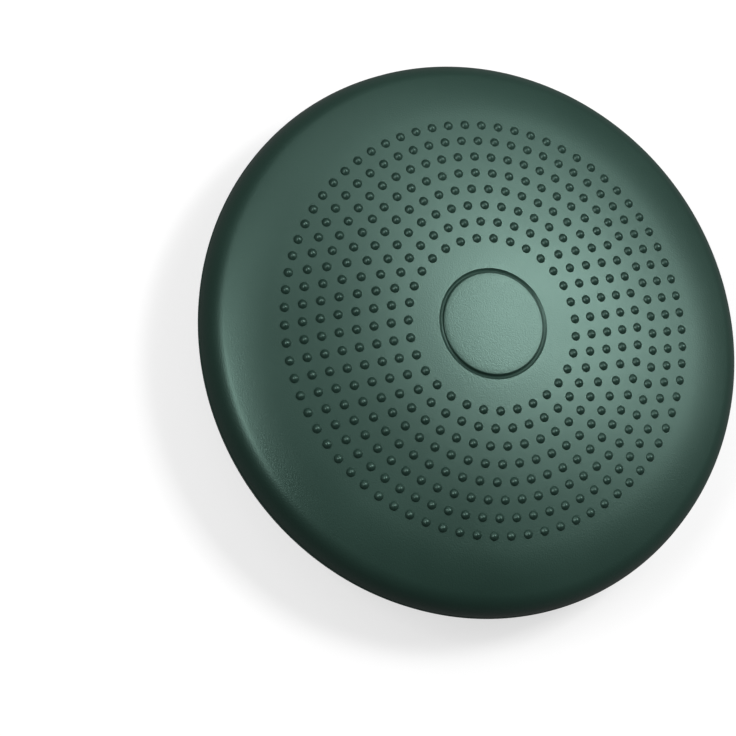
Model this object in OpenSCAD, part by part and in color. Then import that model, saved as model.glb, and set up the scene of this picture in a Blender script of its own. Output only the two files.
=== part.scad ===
// Round air-filled balance pad: a moulded PVC skin, studded on top and spiked underneath,
// with a rolled rim and a needle valve. Millimetres, Z up, the axis of the disc is Z and
// the floor is Z = 0. The pad is drawn inflated, with nobody standing on it.

/* [Skin] */
// Diameter across the rolled rim
pad_d = 330; // [310:1:360]
// Thickness on the axis from face to face, without studs and spikes
pad_h = 71; // [62:0.5:80]
// Radius of curvature of both crowned faces
crown_r = 715; // [650:5:900]
// Thickness of the PVC
wall = 3.5; // [2.5:0.1:4.5]
// Slope at which the flat shoulder passes into the rim's tighter round
shoulder_slope = 22; // [18:0.5:26]
// Height that the parting line of the mould stands proud of the rim
parting_h = 0.4; // [0.2:0.05:0.8]
// Width of the parting line
parting_w = 1.4; // [0.8:0.1:2.5]
// Gap left between the top panel, which moves, and the shoulder round it
panel_gap = 0.3; // [0.2:0.05:0.5]

/* [Top face] */
// Number of rings of studs
stud_rings = 8; // [5:1:9]
// Radius of the innermost ring of studs
stud_first_r = 51; // [44:0.5:54]
// Distance from one ring of studs to the next
stud_pitch = 10.1; // [9:0.1:10.5]
// Least distance from stud to stud along a ring
stud_spacing = 10.27; // [9.5:0.01:14]
// Direction in which every ring of studs starts
stud_start_a = 186.9; // [0:0.1:360]
// Diameter of a stud where it leaves the face
stud_d = 5.6; // [4:0.1:7]
// Height of a stud
stud_h = 1.9; // [1:0.1:2.6]
// Smooth band from the outermost studs to the shoulder
stud_border = 7; // [5:0.5:9]
// Radius of the bare disc in the middle
disc_r = 30.3; // [24:0.1:36]
// Height of the disc above the face round it
disc_step = 0.5; // [0.3:0.1:1]
// Width of the groove round the disc
groove_w = 2.4; // [1:0.1:3]
// Depth of the groove below the face
groove_depth = 0.9; // [0.5:0.1:1.5]

/* [Underside] */
// Number of rings of spikes round the one in the middle
spike_rings = 17; // [10:1:18]
// Distance from one ring of spikes to the next
spike_pitch = 7.75; // [7.5:0.05:8]
// Least distance from spike to spike along a ring
spike_spacing = 8.4; // [8:0.05:9]
// Ring from which every second ring is turned by half a spacing, counted from the middle
stagger_ring = 13; // [11:1:18]
// Diameter of a spike
spike_d = 6.4; // [5:0.1:7]
// Height of a spike
spike_h = 4.2; // [3.4:0.1:6]
// Height of a spike's rounded tip, which ends its straight side
tip_h = 2.6; // [2:0.1:2.9]
// Smooth band from the outermost spikes to the shoulder
spike_border = 6; // [5:0.5:8]
// Depth by which the middle spikes are worn flat where the pad stands
rest_cut = 0.5; // [0.3:0.05:0.8]

/* [Valve] */
// Ring of spikes in which the valve takes the place of one, counted from the middle
valve_ring = 14; // [8:2:16]
// Direction of the valve, where every ring of spikes starts
valve_a = 0; // [0:1:360]
// Radius of the hole in the skin over the valve
mouth_r = 1.7; // [1.4:0.1:2.2]
// Radius of the needle's hole in the plug
needle_r = 1; // [0.8:0.05:1.3]
// Radius of the rubber plug
plug_r = 5; // [4:0.1:6]
// Length of the plug in its neck
plug_len = 12; // [9:0.5:16]
// Thickness of the plug's slit end, which closes behind the needle
slit_t = 2; // [1.5:0.1:3]
// Thickness of the skin that holds the plug in from outside
lip_t = 1.5; // [1:0.1:2]
// Wall of the moulded neck round the plug
neck_wall = 2; // [1.5:0.1:3]
// Width and thickness of the plug's flange behind the neck
flange = 2; // [1.5:0.1:3]
// Clearance all round the plug
plug_fit = 0.05; // [0.02:0.01:0.1]

/* [Hidden] */

// Facets of the faces' arcs, of the skin round the axis, and of a stud or spike
arc_fn = 360;
turn_fn = 128;
bump_fn = 24;

half_h = pad_h/2;
pad_r = pad_d/2;
// Height of the parting line above the floor
mid_z = half_h + spike_h - rest_cut;

// Radii at which the two crowned faces end and the shoulders begin
panel_r = stud_first_r + (stud_rings - 1)*stud_pitch + stud_border;
under_r = spike_rings*spike_pitch + spike_border;
valve_r = valve_ring*spike_pitch;

// Depth that studs and spikes are rooted in the skin
root = wall/2;

// Turn of a spike's tip, from its straight side to its blunt end, and the cones that make it
tip_turn = 66;
tip_steps = 2;

stud_sphere_r = (pow(stud_d/2, 2) + pow(stud_h, 2))/(2*stud_h);
// The plug's hole is countersunk to the width of the mouth
lead_in = 1;
// Length that a cut runs past what it cuts
over = 1;

// Height of a crowned face above the parting plane at radius r, and its slope there
function crown_y(r) = half_h - crown_r + sqrt(pow(crown_r, 2) - pow(r, 2));
function crown_slope(r) = asin(r/crown_r);

// Radii of the shoulder's and the rim's arcs. They start tangent to the crown at radius r,
// meet tangent at shoulder_slope and end upright at the parting line.
function shoulder_radii(r) =
    let (
        across = pad_r - r,
        down = crown_y(r),
        a = crown_slope(r),
        across_1 = sin(shoulder_slope) - sin(a),
        down_1 = cos(a) - cos(shoulder_slope),
        across_2 = 1 - sin(shoulder_slope),
        down_2 = cos(shoulder_slope),
        det = across_1*down_2 - down_1*across_2
    )
    [(across*down_2 - down*across_2)/det, (across_1*down - down_1*across)/det];

// Point at a distance from a centre, in a direction measured from +Y towards +X
function out(centre, r, a) = centre + [r*sin(a), r*cos(a)];

// Part of a disc that lies inside a polygon
module disc_part(centre, r, points) {
    intersection() {
        translate(centre)
            circle(r, $fn = arc_fn);
        polygon(points);
    }
}

// Half of the pad's section above the parting plane, filled, with its surface set in by inset.
// Crown, shoulder and rim are parts of three discs, which share the lines that they meet on.
module half_section(face_r, inset) {
    a = crown_slope(face_r);
    radii = shoulder_radii(face_r);
    crown_c = [0, half_h - crown_r];
    shoulder_c = out([face_r, crown_y(face_r)], -radii[0], a);
    rim_c = [pad_r - radii[1], 0];
    over_crown = out(shoulder_c, radii[0] + over, a);
    over_rim = out(rim_c, radii[1] + over, shoulder_slope);
    intersection() {
        union() {
            disc_part(crown_c, crown_r - inset, [[0, shoulder_c[1]], shoulder_c, over_crown, [0, pad_h]]);
            disc_part(shoulder_c, radii[0] - inset, [shoulder_c, over_crown, over_rim, rim_c]);
            disc_part(rim_c, radii[1] - inset, [rim_c, over_rim, [pad_d, pad_h], [pad_d, 0]]);
        }
        square([pad_d, pad_h]);
    }
}

// Section of the skin itself, from the axis to the parting line
module skin_section(face_r) {
    difference() {
        half_section(face_r, 0);
        half_section(face_r, wall);
    }
}

// Half of the parting line's ridge
module parting_section() {
    translate([pad_r - root, 0])
        square([root + parting_h, parting_w/2]);
}

// Puts its children on a crowned face at radius r in direction a, upright on the face
module on_face(r, a) {
    rotate([0, 0, a])
        translate([0, 0, half_h - crown_r])
            rotate([0, crown_slope(r), 0])
                translate([0, 0, crown_r])
                    children();
}

// Rings of children from first_ring to last_ring, where ring 0 has the radius zero_r. Each ring
// holds as many as fit at the given spacing. They start at start_a, but from stagger_from
// outwards every second one starts half a place further on. The first place of gap_ring is left out.
module rings(first_ring, last_ring, zero_r, pitch, spacing, start_a, stagger_from = 1000, gap_ring = -1) {
    for (ring = [first_ring:last_ring]) {
        r = zero_r + ring*pitch;
        places = floor(2*PI*r/spacing + 0.001);
        turn = ring >= stagger_from && (ring - stagger_from) % 2 == 0 ? 0.5 : 0;
        for (place = [(ring == gap_ring ? 1 : 0):places - 1])
            on_face(r, start_a + (place + turn)*360/places)
                children();
    }
}

// Low round stud of the top face
module stud() {
    translate([0, 0, stud_h - stud_sphere_r])
        sphere(stud_sphere_r, $fn = bump_fn);
}

// Stubby spike of the underside, with a straight side and a rounded tip in two short cones
module spike() {
    tip = [
        for (step = [0:tip_steps])
            let (a = step*tip_turn/tip_steps)
            [spike_d/2*cos(a), spike_h - tip_h*(1 - sin(a)/sin(tip_turn))]
    ];
    rotate_extrude($fn = bump_fn)
        polygon(concat([[0, -root], [spike_d/2, -root]], tip, [[0, spike_h]]));
}

// Top panel: crowned, studded, with the bare disc in its middle
module upper_face() {
    color("#4f6f63")
        translate([0, 0, mid_z]) {
            rotate_extrude($fn = turn_fn)
                difference() {
                    union() {
                        intersection() {
                            skin_section(panel_r);
                            square([panel_r - panel_gap, pad_h]);
                        }
                        intersection() {
                            translate([0, half_h - crown_r + disc_step])
                                circle(crown_r, $fn = arc_fn);
                            translate([0, half_h - wall])
                                square([disc_r, pad_h]);
                        }
                    }
                    translate([disc_r, crown_y(disc_r) - groove_depth])
                        square([groove_w, pad_h]);
                }
            rings(0, stud_rings - 1, stud_first_r, stud_pitch, stud_spacing, stud_start_a)
                stud();
        }
}

// Smooth ring from the top panel down to the parting line, which flexes when the pad is pressed
module upper_shoulder() {
    color("#4f6f63")
        translate([0, 0, mid_z])
            rotate_extrude($fn = turn_fn) {
                difference() {
                    skin_section(panel_r);
                    square([panel_r, pad_h]);
                }
                parting_section();
            }
}

// Moulded neck inside the skin, which holds the plug
module valve_neck() {
    translate([0, 0, -lip_t - plug_len])
        cylinder(plug_len + lip_t - root, r = plug_r + plug_fit + neck_wall, $fn = turn_fn/2);
}

// Socket for the plug, and the mouth through the skin
module valve_socket() {
    translate([0, 0, -lip_t - plug_len - over])
        cylinder(plug_len + over, r = plug_r + plug_fit, $fn = turn_fn/2);
    translate([0, 0, -lip_t - over])
        cylinder(lip_t + 2*over, r = mouth_r, $fn = turn_fn/2);
}

// Rings of spikes from one ring number to another
module spike_field(first_ring, last_ring) {
    rings(
        first_ring,
        last_ring,
        0,
        spike_pitch,
        spike_spacing,
        valve_a,
        stagger_ring,
        valve_ring
    )
        spike();
}

// Spikes in the middle, worn flat at floor level
module resting_spikes(last_ring) {
    intersection() {
        union() {
            on_face(0, 0)
                spike();
            spike_field(1, last_ring);
        }
        cylinder(mid_z, r = pad_r, $fn = turn_fn);
    }
}

// Lower half of the skin, with its spikes and the valve's neck
module lower_shell() {
    // Last ring whose spikes reach the floor, or nearly
    low_ring = floor(sqrt(2*crown_r*rest_cut)/spike_pitch) + 1;
    color("#465f56")
        translate([0, 0, mid_z])
            rotate([180, 0, 0])
                difference() {
                    union() {
                        rotate_extrude($fn = turn_fn) {
                            skin_section(under_r);
                            parting_section();
                        }
                        resting_spikes(low_ring);
                        spike_field(low_ring + 1, spike_rings);
                        on_face(valve_r, valve_a)
                            valve_neck();
                    }
                    on_face(valve_r, valve_a)
                        valve_socket();
                }
}

// Rubber plug with the needle's hole and a slit end, and a flange behind the neck
module valve_plug() {
    bore_end = plug_len - slit_t;
    color("#1d2422")
        translate([0, 0, mid_z])
            rotate([180, 0, 0])
                on_face(valve_r, valve_a)
                    translate([0, 0, -lip_t - plug_fit])
                        rotate_extrude($fn = turn_fn/2)
                            polygon([
                                [mouth_r, 0],
                                [plug_r, 0],
                                [plug_r, -plug_len],
                                [plug_r + flange, -plug_len],
                                [plug_r + flange, -plug_len - flange],
                                [0, -plug_len - flange],
                                [0, -bore_end],
                                [needle_r, -bore_end],
                                [needle_r, -lead_in]
                            ]);
}

upper_face();
upper_shoulder();
lower_shell();
valve_plug();
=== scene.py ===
"""Round air-filled balance pad: satin dark green PVC, studded on top and spiked underneath.

Lengths are in metres and the floor is Z = 0. The pad's height, its width, the edge of its top
panel and its parting line are read from its parts in model.glb. The other sizes are settings of the
property groups below, or shares of them.
"""

import math

import bmesh
import bpy
from mathutils import Matrix, Quaternion, Vector


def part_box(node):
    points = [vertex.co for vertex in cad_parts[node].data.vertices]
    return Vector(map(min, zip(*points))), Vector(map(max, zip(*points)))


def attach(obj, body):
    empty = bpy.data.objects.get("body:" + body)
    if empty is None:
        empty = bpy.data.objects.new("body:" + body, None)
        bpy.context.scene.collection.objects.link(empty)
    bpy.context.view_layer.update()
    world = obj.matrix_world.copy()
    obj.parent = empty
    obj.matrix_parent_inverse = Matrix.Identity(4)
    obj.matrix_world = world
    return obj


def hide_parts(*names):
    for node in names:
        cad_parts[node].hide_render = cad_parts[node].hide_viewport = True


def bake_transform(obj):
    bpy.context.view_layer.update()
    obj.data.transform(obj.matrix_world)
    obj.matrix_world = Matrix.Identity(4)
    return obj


bl_info = {
    "name": "Balance Pad",
    "version": (1, 0, 0),
    "blender": (4, 5, 0),
    "location": "View3D > Sidebar > Balance Pad",
    "description": "Models the skin, studs, spikes and valve of a round air-filled balance pad",
    "category": "Add Mesh",
}

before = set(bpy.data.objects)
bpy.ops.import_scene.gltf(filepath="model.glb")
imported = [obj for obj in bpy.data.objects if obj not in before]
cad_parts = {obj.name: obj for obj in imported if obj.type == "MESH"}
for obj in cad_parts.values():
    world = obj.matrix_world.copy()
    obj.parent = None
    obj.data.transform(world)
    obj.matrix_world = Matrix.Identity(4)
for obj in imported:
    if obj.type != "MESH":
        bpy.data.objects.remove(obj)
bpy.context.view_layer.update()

PANEL_LOW, PANEL_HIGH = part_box("upper_face")
SHELL_LOW, SHELL_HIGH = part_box("lower_shell")
PARTING_Z = SHELL_HIGH[2]
TOP_Z = PANEL_HIGH[2]
WIDEST_R = SHELL_HIGH[0]
PANEL_R = PANEL_HIGH[0]

BASE_BODY = "base"

DISC_STEP = 0.0005  # height of the bare disc above the face
TOUCHING = 1e-6  # distance below which two points are one
SENSOR_WIDTH = 36.0  # of the camera, in millimetres
FLOOR_WIDTH = 12.0
BORE_SIDES = 24  # facets round the valve's bores
NECK_SIDES = 32  # facets round its neck


# ---------------------------------------------------------------------------
# Settings
# ---------------------------------------------------------------------------


def length(name, description, default, low=0.0, high=1.0):
    """A length that a user may change, in metres."""
    return bpy.props.FloatProperty(
        name=name, description=description, default=default, min=low, max=high,
        subtype="DISTANCE", unit="LENGTH", precision=5,
    )


def angle(name, description, degrees):
    """An angle that a user may change. It is kept in radians."""
    return bpy.props.FloatProperty(
        name=name, description=description, default=math.radians(degrees),
        subtype="ANGLE", unit="ROTATION",
    )


def share(name, description, default, high=1.0):
    """A plain number from 0 up."""
    return bpy.props.FloatProperty(
        name=name, description=description, default=default, min=0.0, max=high,
    )


def count(name, description, default, low=1):
    """A whole number."""
    return bpy.props.IntProperty(name=name, description=description, default=default, min=low)


def colour(name, description, default):
    """A colour in linear light."""
    return bpy.props.FloatVectorProperty(
        name=name, description=description, default=default, min=0.0, max=1.0,
        size=3, subtype="COLOR",
    )


class BALANCEPAD_PG_skin(bpy.types.PropertyGroup):
    """Sizes of the moulded skin."""

    crown_radius: length("Crown radius", "Radius of curvature of both faces", 0.715, 0.3, 5.0)
    disc_step: length("Disc step", "Height of the bare disc above the face", DISC_STEP)
    wall: length("Wall", "Thickness of the PVC", 0.0035)
    shoulder_slope: angle("Shoulder slope", "Slope at which the shoulder meets the rim's round", 22)
    parting_height: length("Parting line height", "How far the parting line stands proud", 0.0004)
    parting_width: length("Parting line width", "Width of the parting line", 0.0014)
    disc_radius: length("Disc radius", "Radius of the bare disc in the middle of the top", 0.0303)
    disc_edge: length("Disc edge", "Width of the disc's rounded edge", 0.0009)
    groove_width: length("Groove width", "Width of the groove round the disc", 0.0024)
    groove_depth: length("Groove depth", "Depth of the groove below the face", 0.0011)
    turns: count("Turns", "Facets round the axis", 240, 16)


class BALANCEPAD_PG_studs(bpy.types.PropertyGroup):
    """Sizes and layout of the studs on the top face."""

    rings: count("Rings", "Number of rings of studs", 8)
    first_radius: length("First ring", "Radius of the innermost ring", 0.051)
    pitch: length("Ring pitch", "Distance from ring to ring", 0.0101)
    spacing: length("Spacing", "Least distance from stud to stud along a ring", 0.01027)
    start: angle("Start", "Direction in which every ring starts", 186.9)
    diameter: length("Diameter", "Diameter of a stud at its foot", 0.0056)
    height: length("Height", "Height of a stud", 0.0019)
    sides: count("Sides", "Facets round a stud", 16, 6)


class BALANCEPAD_PG_spikes(bpy.types.PropertyGroup):
    """Sizes and layout of the spikes on the underside."""

    rings: count("Rings", "Number of rings of spikes round the middle one", 17)
    pitch: length("Ring pitch", "Distance from ring to ring", 0.00775)
    spacing: length("Spacing", "Least distance from spike to spike along a ring", 0.0084)
    stagger_ring: count("Stagger ring", "Ring from which every second one is turned half a space", 13)
    border: length("Border", "Smooth band from the outermost spikes to the shoulder", 0.006)
    diameter: length("Diameter", "Diameter of a spike", 0.0064)
    height: length("Height", "Height of a spike", 0.0042)
    tip_height: length("Tip height", "Height of a spike's round tip", 0.0026)
    sides: count("Sides", "Facets round a spike", 12, 6)
    valve_ring: count("Valve ring", "Ring in which the valve takes the place of one spike", 14)
    mouth_radius: length("Valve mouth radius", "Radius of the hole in the skin over the valve", 0.0017)
    plug_radius: length("Plug radius", "Radius of the rubber plug, with its clearance", 0.00505)
    plug_length: length("Plug length", "Length of the plug in its neck", 0.012)
    lip: length("Lip", "Thickness of the skin that holds the plug in", 0.0015)
    neck_wall: length("Neck wall", "Wall of the neck round the plug", 0.002)


class BALANCEPAD_PG_finish(bpy.types.PropertyGroup):
    """Colours and finish."""

    green: colour("Green", "Colour of the PVC", (0.0095, 0.0240, 0.0182))
    green_pale: colour("Pale green", "Colour of its paler clouding", (0.0118, 0.0290, 0.0222))
    highlight: colour("Highlight", "Tint of the PVC's gloss", (0.63, 1.0, 0.87))
    rubber: colour("Rubber", "Colour of the valve's rubber", (0.012, 0.014, 0.013))
    roughness: share("Roughness", "Roughness of the PVC", 0.38)
    grain_scale: share("Grain scale", "Fineness of the PVC's moulded grain", 1200.0, 5000.0)
    grain_depth: length("Grain depth", "Depth of the PVC's moulded grain", 0.00018)
    floor: colour("Floor", "Colour of the floor", (0.30, 0.30, 0.30))
    floor_dim: colour("Dim floor", "Its colour where it lights the pad from below", (0.10, 0.10, 0.10))
    studio: colour("Studio", "Tint of the dim light from all round", (0.95, 1.0, 0.98))


class BALANCEPAD_PG_stage(bpy.types.PropertyGroup):
    """Camera and light."""

    aim: bpy.props.FloatVectorProperty(
        name="Aim", description="Point that the camera looks at", size=3,
        default=(-0.0787, -0.0229, TOP_Z - DISC_STEP), subtype="XYZ", unit="LENGTH",
    )
    distance: length("Distance", "Distance from the camera to its aim", 1.527, 0.1, 20.0)
    azimuth: angle("Azimuth", "Direction of the camera, from +X towards +Y", -148.47)
    elevation: angle("Elevation", "Height of the camera", 68.26)
    roll: angle("Roll", "Turn of the camera to its left", 53.99)
    lens: share("Lens", "Focal length in millimetres on a 36 mm sensor", 133.0, 500.0)
    surroundings: share("Surroundings", "Light from all round, dim as in a dark studio", 0.02)
    floor_white: share("Floor white", "How much whiter the camera sees the floor", 0.65)
    gloss_share: share("Gloss share", "How much of the white surroundings gloss and glass show", 0.06)


# ---------------------------------------------------------------------------
# Modelling by hand: rings, turned shapes and copies
# ---------------------------------------------------------------------------


def deselect_all():
    """Nothing selected and nothing active, in object mode."""
    if bpy.context.object and bpy.context.object.mode != "OBJECT":
        bpy.ops.object.mode_set(mode="OBJECT")
    bpy.ops.object.select_all(action="DESELECT")
    bpy.context.view_layer.objects.active = None


def select_only(*objects):
    """Selects these objects and makes the first active."""
    deselect_all()
    for obj in objects:
        obj.select_set(True)
    bpy.context.view_layer.objects.active = objects[0]


def turned(name, profile, sides, close_end=False):
    """A surface turned about Z: a circle at the profile's first point, extruded and scaled from
    point to point. The profile is (radius, height) pairs and may end on the axis."""
    deselect_all()
    radius, height = profile[0]
    bpy.ops.mesh.primitive_circle_add(vertices=sides, radius=radius, location=(0, 0, height))
    obj = bpy.context.object
    obj.name = obj.data.name = name
    bpy.ops.object.transform_apply(location=True, rotation=True, scale=True)
    bpy.ops.object.mode_set(mode="EDIT")
    if close_end:
        bpy.ops.mesh.edge_face_add()
        bpy.ops.mesh.select_all(action="SELECT")
    for next_radius, next_height in profile[1:]:
        step = (0, 0, next_height - height)
        bpy.ops.mesh.extrude_edges_move(TRANSFORM_OT_translate={"value": step})
        if next_radius < TOUCHING:
            bpy.ops.mesh.merge(type="CENTER")
            break
        factor = next_radius / radius
        bpy.ops.transform.resize(
            value=(factor, factor, 1), center_override=(0, 0, next_height)
        )
        radius, height = next_radius, next_height
    bpy.ops.mesh.select_all(action="SELECT")
    bpy.ops.mesh.normals_make_consistent(inside=False)
    bpy.ops.object.mode_set(mode="OBJECT")
    return obj


def apply_modifier(obj, kind, name, **values):
    """Adds a modifier with these values and applies it."""
    select_only(obj)
    modifier = obj.modifiers.new(name, kind)
    for key, value in values.items():
        setattr(modifier, key, value)
    bpy.ops.object.modifier_apply(modifier=modifier.name)
    return obj


def duplicate(obj):
    """A copy of obj with a mesh of its own."""
    select_only(obj)
    bpy.ops.object.duplicate(linked=False)
    return bpy.context.object


def join(objects, name):
    """Joins objects into the first."""
    select_only(*objects)
    if len(objects) > 1:
        bpy.ops.object.join()
    obj = bpy.context.object
    obj.name = obj.data.name = name
    return obj


def place_in_mesh(obj):
    """Moves the object's place into its mesh, so that the object sits at the origin."""
    select_only(obj)
    bpy.ops.object.transform_apply(location=True, rotation=True, scale=True)
    return obj


def remove(obj):
    """Deletes a mesh object and its mesh."""
    mesh = obj.data
    bpy.data.objects.remove(obj)
    bpy.data.meshes.remove(mesh)


def ring_of(obj, places):
    """Copies obj round Z until the ring has this many."""
    deselect_all()
    bpy.ops.object.empty_add(location=(0, 0, 0))
    step = bpy.context.object
    step.rotation_euler = (0, 0, math.tau / places)
    bpy.context.view_layer.update()
    apply_modifier(
        obj, "ARRAY", "Ring", fit_type="FIXED_COUNT", count=places,
        use_relative_offset=False, use_object_offset=True, offset_object=step,
    )
    bpy.data.objects.remove(step)
    return obj


def walled(shell, wall):
    """Gives a surface its wall, inwards."""
    return apply_modifier(
        shell, "SOLIDIFY", "Wall", thickness=wall, offset=-1.0, use_even_offset=True
    )


def smooth(obj, degrees=35):
    """Smooth shading, with creases sharper than this many degrees kept."""
    select_only(obj)
    bpy.ops.object.shade_smooth_by_angle(angle=math.radians(degrees))
    return obj


# ---------------------------------------------------------------------------
# The skin's section
# ---------------------------------------------------------------------------


def half_height(skin):
    """Height of the top face above the parting plane, on the axis."""
    return TOP_Z - skin.disc_step - PARTING_Z


def crown_height(skin, radius):
    """Height of a face above the parting plane at this radius."""
    return half_height(skin) - skin.crown_radius + math.sqrt(skin.crown_radius**2 - radius**2)


def crown_slope(skin, radius):
    """Slope of a face at this radius."""
    return math.asin(radius / skin.crown_radius)


def rim_radius(skin):
    """Radius of the pad without the parting line."""
    return WIDEST_R - skin.parting_height


def shoulder_section(skin, face_radius, shoulder_steps, rim_steps):
    """Points from the face's edge over the shoulder and the rim down to the parting plane, on
    two arcs that run tangent into each other and into the face."""
    slope = crown_slope(skin, face_radius)
    bend = skin.shoulder_slope
    across = rim_radius(skin) - face_radius
    down = crown_height(skin, face_radius)
    across_1, down_1 = math.sin(bend) - math.sin(slope), math.cos(slope) - math.cos(bend)
    across_2, down_2 = 1 - math.sin(bend), math.cos(bend)
    scale = across_1 * down_2 - down_1 * across_2
    shoulder = (across * down_2 - down * across_2) / scale
    rim = (across_1 * down - down_1 * across) / scale
    centre = (face_radius - shoulder * math.sin(slope), down - shoulder * math.cos(slope))
    points = []
    for step in range(shoulder_steps):
        turn = slope + (bend - slope) * step / shoulder_steps
        points.append((centre[0] + shoulder * math.sin(turn), centre[1] + shoulder * math.cos(turn)))
    for step in range(rim_steps + 1):
        turn = bend + (math.pi / 2 - bend) * step / rim_steps
        points.append((rim_radius(skin) - rim + rim * math.sin(turn), rim * math.cos(turn)))
    return points


def with_parting_line(skin, points):
    """Ends the section in half of the parting line's low ridge, which starts softly."""
    half = skin.parting_width / 2
    above_ridge = [(radius, height) for radius, height in points if height > 1.6 * half]
    ridge = [
        (rim_radius(skin) + out * skin.parting_height, up * half)
        for out, up in ((0.0, 1.25), (0.35, 1.0), (0.85, 0.7), (1.0, 0.35), (1.0, 0.0))
    ]
    return above_ridge + ridge


def skin_section(skin, inner, face_radius, face_steps, shoulder_steps=14, rim_steps=26):
    """Points of a half of the skin, from a radius on its face down to the parting plane."""
    face = face_section(skin, inner, face_radius, face_steps)
    shoulder = shoulder_section(skin, face_radius, shoulder_steps, rim_steps)
    return face + with_parting_line(skin, shoulder)


def face_section(skin, from_radius, to_radius, steps):
    """Points of a crowned face between two radii, without the last."""
    radii = [from_radius + (to_radius - from_radius) * step / steps for step in range(steps)]
    return [(radius, crown_height(skin, radius)) for radius in radii]


def centre_disc_section(skin):
    """Points of the bare disc and the groove round it, from the axis out."""
    edge, foot = skin.disc_radius, skin.disc_radius + skin.groove_width
    flat = edge - skin.disc_edge
    disc = [(r, z + skin.disc_step) for r, z in face_section(skin, 0.0, flat, 12)]
    top = crown_height(skin, edge) + skin.disc_step
    corner_steps = 4
    for step in range(corner_steps + 1):
        turn = math.pi / 2 * step / corner_steps
        drop = 0.6 * skin.disc_edge * (1 - math.cos(turn))
        disc.append((flat + skin.disc_edge * math.sin(turn), top - drop))
    floor = crown_height(skin, edge) - skin.groove_depth
    rolled = [
        (edge + out * skin.groove_width, floor + up * skin.groove_depth)
        for out, up in ((0.06, 0.45), (0.20, 0.15), (0.42, 0.0), (0.62, 0.16), (0.84, 0.52))
    ]
    face = crown_height(skin, foot)
    inside, outside = 0.00005, 0.00012  # the soft brink's reach to both sides of the groove's foot
    brink = [
        (foot - inside, face - 0.12 * skin.groove_depth),
        (foot + outside, face - 0.02 * skin.groove_depth),
    ]
    return disc + rolled + brink


# ---------------------------------------------------------------------------
# Rings of studs and spikes
# ---------------------------------------------------------------------------


def stand_on_face(obj, skin, radius, direction):
    """Puts a small piece, modelled at the origin, square to a face at this radius."""
    slope = crown_slope(skin, radius)
    height = crown_height(skin, radius)
    obj.matrix_world = (
        Matrix.Rotation(direction, 4, "Z")
        @ Matrix.Translation((radius, 0, height))
        @ Matrix.Rotation(slope, 4, "Y")
    )
    return place_in_mesh(obj)


def places_on(radius, spacing):
    """How many studs or spikes a ring holds. The margin keeps one that only just fits."""
    margin = 0.001
    return math.floor(math.tau * radius / spacing + margin)


def stud_section(studs):
    """Section of a stud from its tip down: a round dome on a short upright foot, which starts
    inside the face."""
    height, reach = studs.height, 0.96 * studs.diameter / 2
    dome_share, fullness = 0.88, 1.75
    dome = [
        (reach * outwards, height * (1 - dome_share * outwards**fullness))
        for outwards in (0.17, 0.37, 0.58, 0.79, 0.97)
    ]
    return dome + [(1.03 * reach, 0.0), (1.04 * reach, -0.15 * height)]


def spike_section(spikes):
    """Section of a spike from its tip down: a round tip, a straight side and a slightly wider
    foot, which starts inside the face."""
    half, height = spikes.diameter / 2, spikes.height
    side = height - spikes.tip_height
    tip_turn, tip_steps = math.radians(80), 3
    tip = []
    for step in range(1, tip_steps + 1):
        turn = tip_turn * step / tip_steps
        tip.append((half * math.sin(turn), side + spikes.tip_height * math.cos(turn)))
    return tip + [(half, 0.5 * side), (1.06 * half, 0.0), (1.07 * half, -0.12 * height)]


def bump(name, section, sides, height):
    """A closed stud or spike at the origin, from its section."""
    return turned(name, list(reversed(section)) + [(0.0, height)], sides, close_end=True)


# ---------------------------------------------------------------------------
# Materials
# ---------------------------------------------------------------------------


def new_material(name):
    """An empty node material with its output."""
    material = bpy.data.materials.new(name)
    material.use_nodes = True
    material.node_tree.nodes.clear()
    return material, material.node_tree.nodes, material.node_tree.links


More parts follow.
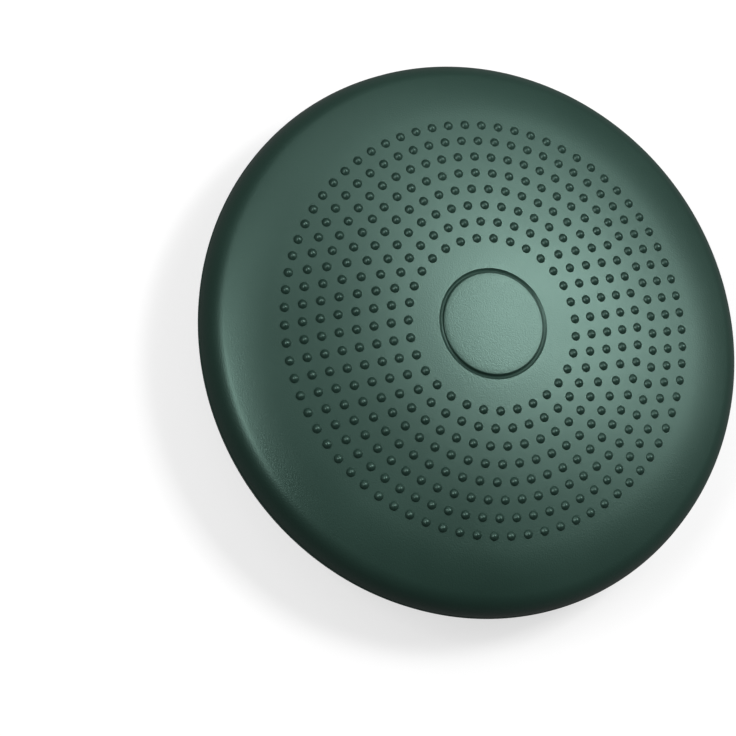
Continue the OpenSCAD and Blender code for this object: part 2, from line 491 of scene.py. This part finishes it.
def moulded_grain_group():
    """Group: fine moulded grain and slow clouding of a plastic or rubber skin.
    It gives a cloud mask, a roughness and the height of the grain."""
    name = "Moulded Grain"
    if name in bpy.data.node_groups:
        return bpy.data.node_groups[name]
    group = bpy.data.node_groups.new(name, "ShaderNodeTree")
    for label, default in (
        ("Cloud Scale", 9.0), ("Grain Scale", 900.0), ("Roughness", 0.4), ("Roughness Spread", 0.05),
    ):
        socket = group.interface.new_socket(label, in_out="INPUT", socket_type="NodeSocketFloat")
        socket.default_value = default
    group.interface.new_socket("Vector", in_out="INPUT", socket_type="NodeSocketVector")
    for label in ("Cloud", "Roughness", "Height"):
        group.interface.new_socket(label, in_out="OUTPUT", socket_type="NodeSocketFloat")
    nodes, links = group.nodes, group.links
    inside = nodes.new("NodeGroupInput")
    outside = nodes.new("NodeGroupOutput")

    cloud = nodes.new("ShaderNodeTexNoise")
    cloud.inputs["Detail"].default_value = 3.0
    cloud.inputs["Roughness"].default_value = 0.5
    links.new(inside.outputs["Vector"], cloud.inputs["Vector"])
    links.new(inside.outputs["Cloud Scale"], cloud.inputs["Scale"])
    spread = nodes.new("ShaderNodeMapRange")
    spread.inputs["From Min"].default_value = 0.35
    spread.inputs["From Max"].default_value = 0.65
    links.new(cloud.outputs["Fac"], spread.inputs["Value"])
    links.new(spread.outputs["Result"], outside.inputs["Cloud"])

    grain = nodes.new("ShaderNodeTexNoise")
    grain.inputs["Detail"].default_value = 2.0
    grain.inputs["Roughness"].default_value = 0.55
    links.new(inside.outputs["Vector"], grain.inputs["Vector"])
    links.new(inside.outputs["Grain Scale"], grain.inputs["Scale"])
    links.new(grain.outputs["Fac"], outside.inputs["Height"])

    centred = nodes.new("ShaderNodeMath")
    centred.operation = "SUBTRACT"
    centred.inputs[1].default_value = 0.5
    links.new(spread.outputs["Result"], centred.inputs[0])
    scaled = nodes.new("ShaderNodeMath")
    scaled.operation = "MULTIPLY"
    links.new(centred.outputs["Value"], scaled.inputs[0])
    links.new(inside.outputs["Roughness Spread"], scaled.inputs[1])
    summed = nodes.new("ShaderNodeMath")
    summed.operation = "ADD"
    links.new(scaled.outputs["Value"], summed.inputs[0])
    links.new(inside.outputs["Roughness"], summed.inputs[1])
    links.new(summed.outputs["Value"], outside.inputs["Roughness"])
    return group


def moulded_material(name, base, pale, roughness, grain_scale, grain_depth, tint, gloss):
    """A moulded surface: clouded colour, fine grain and uneven gloss."""
    material, nodes, links = new_material(name)
    output = nodes.new("ShaderNodeOutputMaterial")
    shader = nodes.new("ShaderNodeBsdfPrincipled")
    links.new(shader.outputs["BSDF"], output.inputs["Surface"])
    shader.inputs["IOR"].default_value = 1.52  # near PVC's and rubber's
    shader.inputs["Specular IOR Level"].default_value = gloss
    shader.inputs["Specular Tint"].default_value = (*tint, 1.0)

    place = nodes.new("ShaderNodeTexCoord")
    grain = nodes.new("ShaderNodeGroup")
    grain.node_tree = moulded_grain_group()
    grain.inputs["Roughness"].default_value = roughness
    grain.inputs["Grain Scale"].default_value = grain_scale
    links.new(place.outputs["Object"], grain.inputs["Vector"])

    mix = nodes.new("ShaderNodeMix")
    mix.data_type = "RGBA"
    mix.inputs[6].default_value = (*base, 1.0)
    mix.inputs[7].default_value = (*pale, 1.0)
    links.new(grain.outputs["Cloud"], mix.inputs[0])
    links.new(mix.outputs[2], shader.inputs["Base Color"])
    links.new(grain.outputs["Roughness"], shader.inputs["Roughness"])

    relief = nodes.new("ShaderNodeBump")
    relief.inputs["Strength"].default_value = 0.5
    relief.inputs["Distance"].default_value = grain_depth
    links.new(grain.outputs["Height"], relief.inputs["Height"])
    links.new(relief.outputs["Normal"], shader.inputs["Normal"])
    return material


def pvc_material(finish):
    """The pad's dark green satin PVC."""
    if "PVC Skin" in bpy.data.materials:
        return bpy.data.materials["PVC Skin"]
    return moulded_material(
        "PVC Skin", finish.green, finish.green_pale, finish.roughness,
        grain_scale=finish.grain_scale, grain_depth=finish.grain_depth,
        tint=finish.highlight, gloss=0.5,
    )


def rubber_material(finish):
    """The valve's matt black rubber."""
    pale = [min(1.0, 1.6 * channel) for channel in finish.rubber]
    return moulded_material(
        "Valve Rubber", finish.rubber, pale, roughness=0.62,
        grain_scale=1800.0, grain_depth=0.00005, tint=(1, 1, 1), gloss=0.4,
    )


def dress(obj, material):
    """Gives a piece one material."""
    obj.data.materials.clear()
    obj.data.materials.append(material)
    return obj


# ---------------------------------------------------------------------------
# Pieces
# ---------------------------------------------------------------------------


class BALANCEPAD_OT_upper_skin(bpy.types.Operator):
    """Model the upper half of the skin, with its bare disc and its rings of studs"""

    bl_idname = "balancepad.upper_skin"
    bl_label = "Upper skin"

    def execute(self, context):
        scene = context.scene
        skin, studs = scene.balancepad_skin, scene.balancepad_studs
        centre = centre_disc_section(skin)
        beside_groove = centre[-1][0] + 0.002
        section = centre + skin_section(skin, beside_groove, PANEL_R, 26)
        section = [(radius, height + PARTING_Z) for radius, height in section]
        shell = walled(turned("upper_skin", list(reversed(section)), skin.turns), skin.wall)

        stud = bump("stud", stud_section(studs), studs.sides, studs.height)
        rows = []
        for ring in range(studs.rings):
            radius = studs.first_radius + ring * studs.pitch
            row = stand_on_face(duplicate(stud), skin, radius, studs.start)
            ring_of(row, places_on(radius, studs.spacing))
            rows.append(row)
        remove(stud)
        field = join(rows, "studs")
        field.matrix_world = Matrix.Translation((0, 0, PARTING_Z))
        place_in_mesh(field)

        piece = smooth(join([shell, field], "upper_skin"))
        dress(piece, pvc_material(scene.balancepad_finish))
        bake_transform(piece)
        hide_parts("upper_face", "upper_shoulder")
        return {"FINISHED"}


class BALANCEPAD_OT_lower_skin(bpy.types.Operator):
    """Model the lower half of the skin, with its spikes, the valve's mouth and its neck"""

    bl_idname = "balancepad.lower_skin"
    bl_label = "Lower skin"

    def execute(self, context):
        scene = context.scene
        skin, spikes = scene.balancepad_skin, scene.balancepad_spikes
        face_radius = spikes.rings * spikes.pitch + spikes.border
        section = skin_section(skin, 0.0, face_radius, 24, shoulder_steps=10, rim_steps=22)
        shell = walled(turned("lower_skin", list(reversed(section)), skin.turns), skin.wall)
        valve_radius = spikes.valve_ring * spikes.pitch
        bore_valve(shell, skin, spikes, valve_radius)

        spike = bump("spike", spike_section(spikes), spikes.sides, spikes.height)
        middle = stand_on_face(duplicate(spike), skin, 0.0, 0.0)
        low, rows = [middle], []
        for ring in range(1, spikes.rings + 1):
            radius = ring * spikes.pitch
            places = places_on(radius, spikes.spacing)
            outside = ring - spikes.stagger_ring
            turn = math.pi / places if outside >= 0 and outside % 2 == 0 else 0.0
            row = stand_on_face(duplicate(spike), skin, radius, turn)
            ring_of(row, places)
            if ring == spikes.valve_ring:
                clear_valve_place(row, radius, spikes.spacing)
            reach = crown_height(skin, radius - spikes.diameter) + spikes.height
            (low if reach > PARTING_Z else rows).append(row)
        remove(spike)
        worn = join(low, "low_spikes")
        wear_flat(worn, PARTING_Z)
        neck = valve_neck(skin, spikes, valve_radius)

        piece = join([shell, worn, neck] + rows, "lower_skin")
        piece.matrix_world = Matrix.Translation((0, 0, PARTING_Z)) @ Matrix.Rotation(math.pi, 4, "X")
        place_in_mesh(piece)
        smooth(piece)
        dress(piece, pvc_material(scene.balancepad_finish))
        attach(piece, BASE_BODY)
        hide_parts("lower_shell")
        return {"FINISHED"}


def bore_valve(shell, skin, spikes, valve_radius):
    """Bores the valve's mouth through the skin, and room for the plug behind its lip."""
    for radius, top, depth in (
        (spikes.mouth_radius, 0.002, 0.008),
        (spikes.plug_radius, -spikes.lip, 0.006),
    ):
        deselect_all()
        bpy.ops.mesh.primitive_cylinder_add(
            vertices=BORE_SIDES, radius=radius, depth=depth, location=(0, 0, top - depth / 2)
        )
        cutter = place_in_mesh(bpy.context.object)
        stand_on_face(cutter, skin, valve_radius, 0.0)
        apply_modifier(
            shell, "BOOLEAN", "Valve", operation="DIFFERENCE", object=cutter, solver="EXACT"
        )
        remove(cutter)


def clear_valve_place(row, radius, spacing):
    """Deletes the spike of a ring that stands where the valve is, on +X."""
    select_only(row)
    bpy.ops.object.mode_set(mode="EDIT")
    bpy.ops.mesh.select_all(action="DESELECT")
    mesh = bmesh.from_edit_mesh(row.data)
    for vertex in mesh.verts:
        if (vertex.co.xy - Vector((radius, 0))).length < spacing / 2:
            vertex.select = True
    mesh.select_flush(True)
    bmesh.update_edit_mesh(row.data)
    bpy.ops.mesh.delete(type="VERT")
    bpy.ops.object.mode_set(mode="OBJECT")


def wear_flat(obj, level):
    """Cuts off what stands above this level and closes the cut."""
    select_only(obj)
    bpy.ops.object.mode_set(mode="EDIT")
    bpy.ops.mesh.select_all(action="SELECT")
    bpy.ops.mesh.bisect(
        plane_co=(0, 0, level), plane_no=(0, 0, 1), use_fill=True, clear_outer=True,
        threshold=TOUCHING,
    )
    bpy.ops.object.mode_set(mode="OBJECT")


def valve_neck(skin, spikes, valve_radius):
    """The moulded tube inside the skin that holds the plug. Its root is in the wall."""
    inner = spikes.plug_radius
    outer = inner + spikes.neck_wall
    root = -0.9 * skin.wall
    end = -spikes.lip - spikes.plug_length
    section = [(outer, root), (outer, end), (inner, end), (inner, root)]
    neck = turned("valve_neck", section + [section[0]], NECK_SIDES)
    select_only(neck)
    bpy.ops.object.mode_set(mode="EDIT")
    bpy.ops.mesh.select_all(action="SELECT")
    bpy.ops.mesh.remove_doubles(threshold=TOUCHING)
    bpy.ops.mesh.normals_make_consistent(inside=False)
    bpy.ops.object.mode_set(mode="OBJECT")
    return stand_on_face(neck, skin, valve_radius, 0.0)


class BALANCEPAD_OT_valve(bpy.types.Operator):
    """Give the valve's plug its rubber"""

    bl_idname = "balancepad.valve"
    bl_label = "Valve plug"

    def execute(self, context):
        dress(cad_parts["valve_plug"], rubber_material(context.scene.balancepad_finish))
        return {"FINISHED"}


# ---------------------------------------------------------------------------
# Stage
# ---------------------------------------------------------------------------


def add_camera(stage):
    """The camera at the photograph's viewing angle."""
    aim = Vector(stage.aim)
    away = Vector((
        math.cos(stage.elevation) * math.cos(stage.azimuth),
        math.cos(stage.elevation) * math.sin(stage.azimuth),
        math.sin(stage.elevation),
    ))
    deselect_all()
    bpy.ops.object.camera_add(location=aim + stage.distance * away)
    camera = bpy.context.object
    camera.name = "camera"
    camera.data.lens = stage.lens
    camera.data.sensor_width = SENSOR_WIDTH
    camera.data.clip_end = 50.0  # past the far edge of the floor
    upright = (-away).to_track_quat("-Z", "Y")
    camera.rotation_mode = "QUATERNION"
    camera.rotation_quaternion = upright @ Quaternion((0, 0, 1), stage.roll)
    bpy.context.scene.camera = camera


def add_softbox(name, azimuth, elevation, distance, size, power):
    """A rectangular softbox that faces the pad. Azimuth and elevation are in degrees, and power
    is in watts."""
    turn, lift = math.radians(azimuth), math.radians(elevation)
    away = Vector((
        math.cos(lift) * math.cos(turn), math.cos(lift) * math.sin(turn), math.sin(lift)
    ))
    middle = Vector((0, 0, TOP_Z / 2))
    deselect_all()
    bpy.ops.object.light_add(type="AREA", location=middle + distance * away)
    light = bpy.context.object
    light.name = name
    light.data.shape = "RECTANGLE"
    light.data.size, light.data.size_y = size
    light.data.energy = power
    light.rotation_mode = "QUATERNION"
    light.rotation_quaternion = (-away).to_track_quat("-Z", "Y")


def seen_directly(nodes, links, gloss_share):
    """A mask that is 1 where the camera looks and gloss_share where gloss or glass shows it."""
    path = nodes.new("ShaderNodeLightPath")
    mirrored = nodes.new("ShaderNodeMath")
    mirrored.operation = "MAXIMUM"
    links.new(path.outputs["Is Glossy Ray"], mirrored.inputs[0])
    links.new(path.outputs["Is Transmission Ray"], mirrored.inputs[1])
    weighed = nodes.new("ShaderNodeMath")
    weighed.operation = "MULTIPLY"
    weighed.inputs[1].default_value = gloss_share
    links.new(mirrored.outputs["Value"], weighed.inputs[0])
    mask = nodes.new("ShaderNodeMath")
    mask.operation = "MAXIMUM"
    links.new(path.outputs["Is Camera Ray"], mask.inputs[0])
    links.new(weighed.outputs["Value"], mask.inputs[1])
    return mask.outputs["Value"]


def add_floor(finish, stage):
    """A plain floor: pale, with the pad's shadow, where the camera sees it, and dim where it
    lights the pad from below."""
    deselect_all()
    bpy.ops.mesh.primitive_plane_add(size=FLOOR_WIDTH, location=(0, 0, 0))
    floor = bpy.context.object
    floor.name = "floor"
    material, nodes, links = new_material("Floor")
    output = nodes.new("ShaderNodeOutputMaterial")
    pale, dim = (nodes.new("ShaderNodeBsdfDiffuse") for _ in range(2))
    pale.inputs["Color"].default_value = (*finish.floor, 1.0)
    dim.inputs["Color"].default_value = (*finish.floor_dim, 1.0)
    white = nodes.new("ShaderNodeEmission")
    white.inputs["Strength"].default_value = stage.floor_white
    both = nodes.new("ShaderNodeAddShader")
    links.new(pale.outputs["BSDF"], both.inputs[0])
    links.new(white.outputs["Emission"], both.inputs[1])
    mix = nodes.new("ShaderNodeMixShader")
    links.new(seen_directly(nodes, links, stage.gloss_share), mix.inputs["Fac"])
    links.new(dim.outputs["BSDF"], mix.inputs[1])
    links.new(both.outputs["Shader"], mix.inputs[2])
    links.new(mix.outputs["Shader"], output.inputs["Surface"])
    dress(floor, material)


def set_world(finish, stage):
    """Dim even light from all round, white where the camera looks past the floor."""
    world = bpy.data.worlds.new("Studio")
    world.use_nodes = True
    nodes, links = world.node_tree.nodes, world.node_tree.links
    nodes.clear()
    output = nodes.new("ShaderNodeOutputWorld")
    dim = nodes.new("ShaderNodeBackground")
    dim.inputs["Color"].default_value = (*finish.studio, 1.0)
    dim.inputs["Strength"].default_value = stage.surroundings
    white = nodes.new("ShaderNodeBackground")
    white.inputs["Color"].default_value = (1, 1, 1, 1)
    white.inputs["Strength"].default_value = 1.0
    mix = nodes.new("ShaderNodeMixShader")
    links.new(seen_directly(nodes, links, stage.gloss_share), mix.inputs["Fac"])
    links.new(dim.outputs["Background"], mix.inputs[1])
    links.new(white.outputs["Background"], mix.inputs[2])
    links.new(mix.outputs["Shader"], output.inputs["Surface"])
    bpy.context.scene.world = world


class BALANCEPAD_OT_stage(bpy.types.Operator):
    """Set up the camera, the lights and the pale floor"""

    bl_idname = "balancepad.stage"
    bl_label = "Stage"

    def execute(self, context):
        scene = context.scene
        scene.view_settings.view_transform = "Standard"
        add_camera(scene.balancepad_stage)
        add_softbox("key", azimuth=26, elevation=61, distance=1.8, size=(0.45, 0.45), power=18.5)
        add_softbox("key_upper", azimuth=45, elevation=58, distance=1.8, size=(0.6, 0.6), power=8.5)
        add_softbox("key_lower", azimuth=8, elevation=46, distance=1.8, size=(0.5, 0.5), power=7)
        add_softbox("top", azimuth=90, elevation=45, distance=2.0, size=(1.0, 0.9), power=5)
        add_softbox("back", azimuth=140, elevation=56, distance=2.0, size=(1.0, 0.8), power=7)
        add_softbox("strip", azimuth=181, elevation=50, distance=1.6, size=(0.8, 0.03), power=12)
        add_floor(scene.balancepad_finish, scene.balancepad_stage)
        set_world(scene.balancepad_finish, scene.balancepad_stage)
        return {"FINISHED"}


# ---------------------------------------------------------------------------
# Panel and registration
# ---------------------------------------------------------------------------

GROUPS = (
    ("balancepad_skin", BALANCEPAD_PG_skin),
    ("balancepad_studs", BALANCEPAD_PG_studs),
    ("balancepad_spikes", BALANCEPAD_PG_spikes),
    ("balancepad_finish", BALANCEPAD_PG_finish),
    ("balancepad_stage", BALANCEPAD_PG_stage),
)

OPERATORS = (
    BALANCEPAD_OT_stage,
    BALANCEPAD_OT_upper_skin,
    BALANCEPAD_OT_lower_skin,
    BALANCEPAD_OT_valve,
)


class BALANCEPAD_PT_panel(bpy.types.Panel):
    """The pad's pieces and settings"""

    bl_idname = "BALANCEPAD_PT_panel"
    bl_label = "Balance Pad"
    bl_space_type = "VIEW_3D"
    bl_region_type = "UI"
    bl_category = "Balance Pad"

    def draw(self, context):
        layout = self.layout
        for operator in OPERATORS:
            layout.operator(operator.bl_idname)
        for name, group in GROUPS:
            box = layout.box()
            box.label(text=group.__doc__)
            for setting in group.__annotations__:
                box.prop(getattr(context.scene, name), setting)


def register():
    """Registers the settings, the operators and the panel."""
    for name, group in GROUPS:
        bpy.utils.register_class(group)
        setattr(bpy.types.Scene, name, bpy.props.PointerProperty(type=group))
    for operator in OPERATORS:
        bpy.utils.register_class(operator)
    bpy.utils.register_class(BALANCEPAD_PT_panel)


def unregister():
    """Takes away what register added, in the opposite order."""
    bpy.utils.unregister_class(BALANCEPAD_PT_panel)
    for operator in reversed(OPERATORS):
        bpy.utils.unregister_class(operator)
    for name, group in reversed(GROUPS):
        delattr(bpy.types.Scene, name)
        bpy.utils.unregister_class(group)


def main():
    """Models the whole pad."""
    register()
    bpy.ops.balancepad.stage()
    bpy.ops.balancepad.upper_skin()
    bpy.ops.balancepad.lower_skin()
    bpy.ops.balancepad.valve()
    deselect_all()


if __name__ == "__main__":
    main()
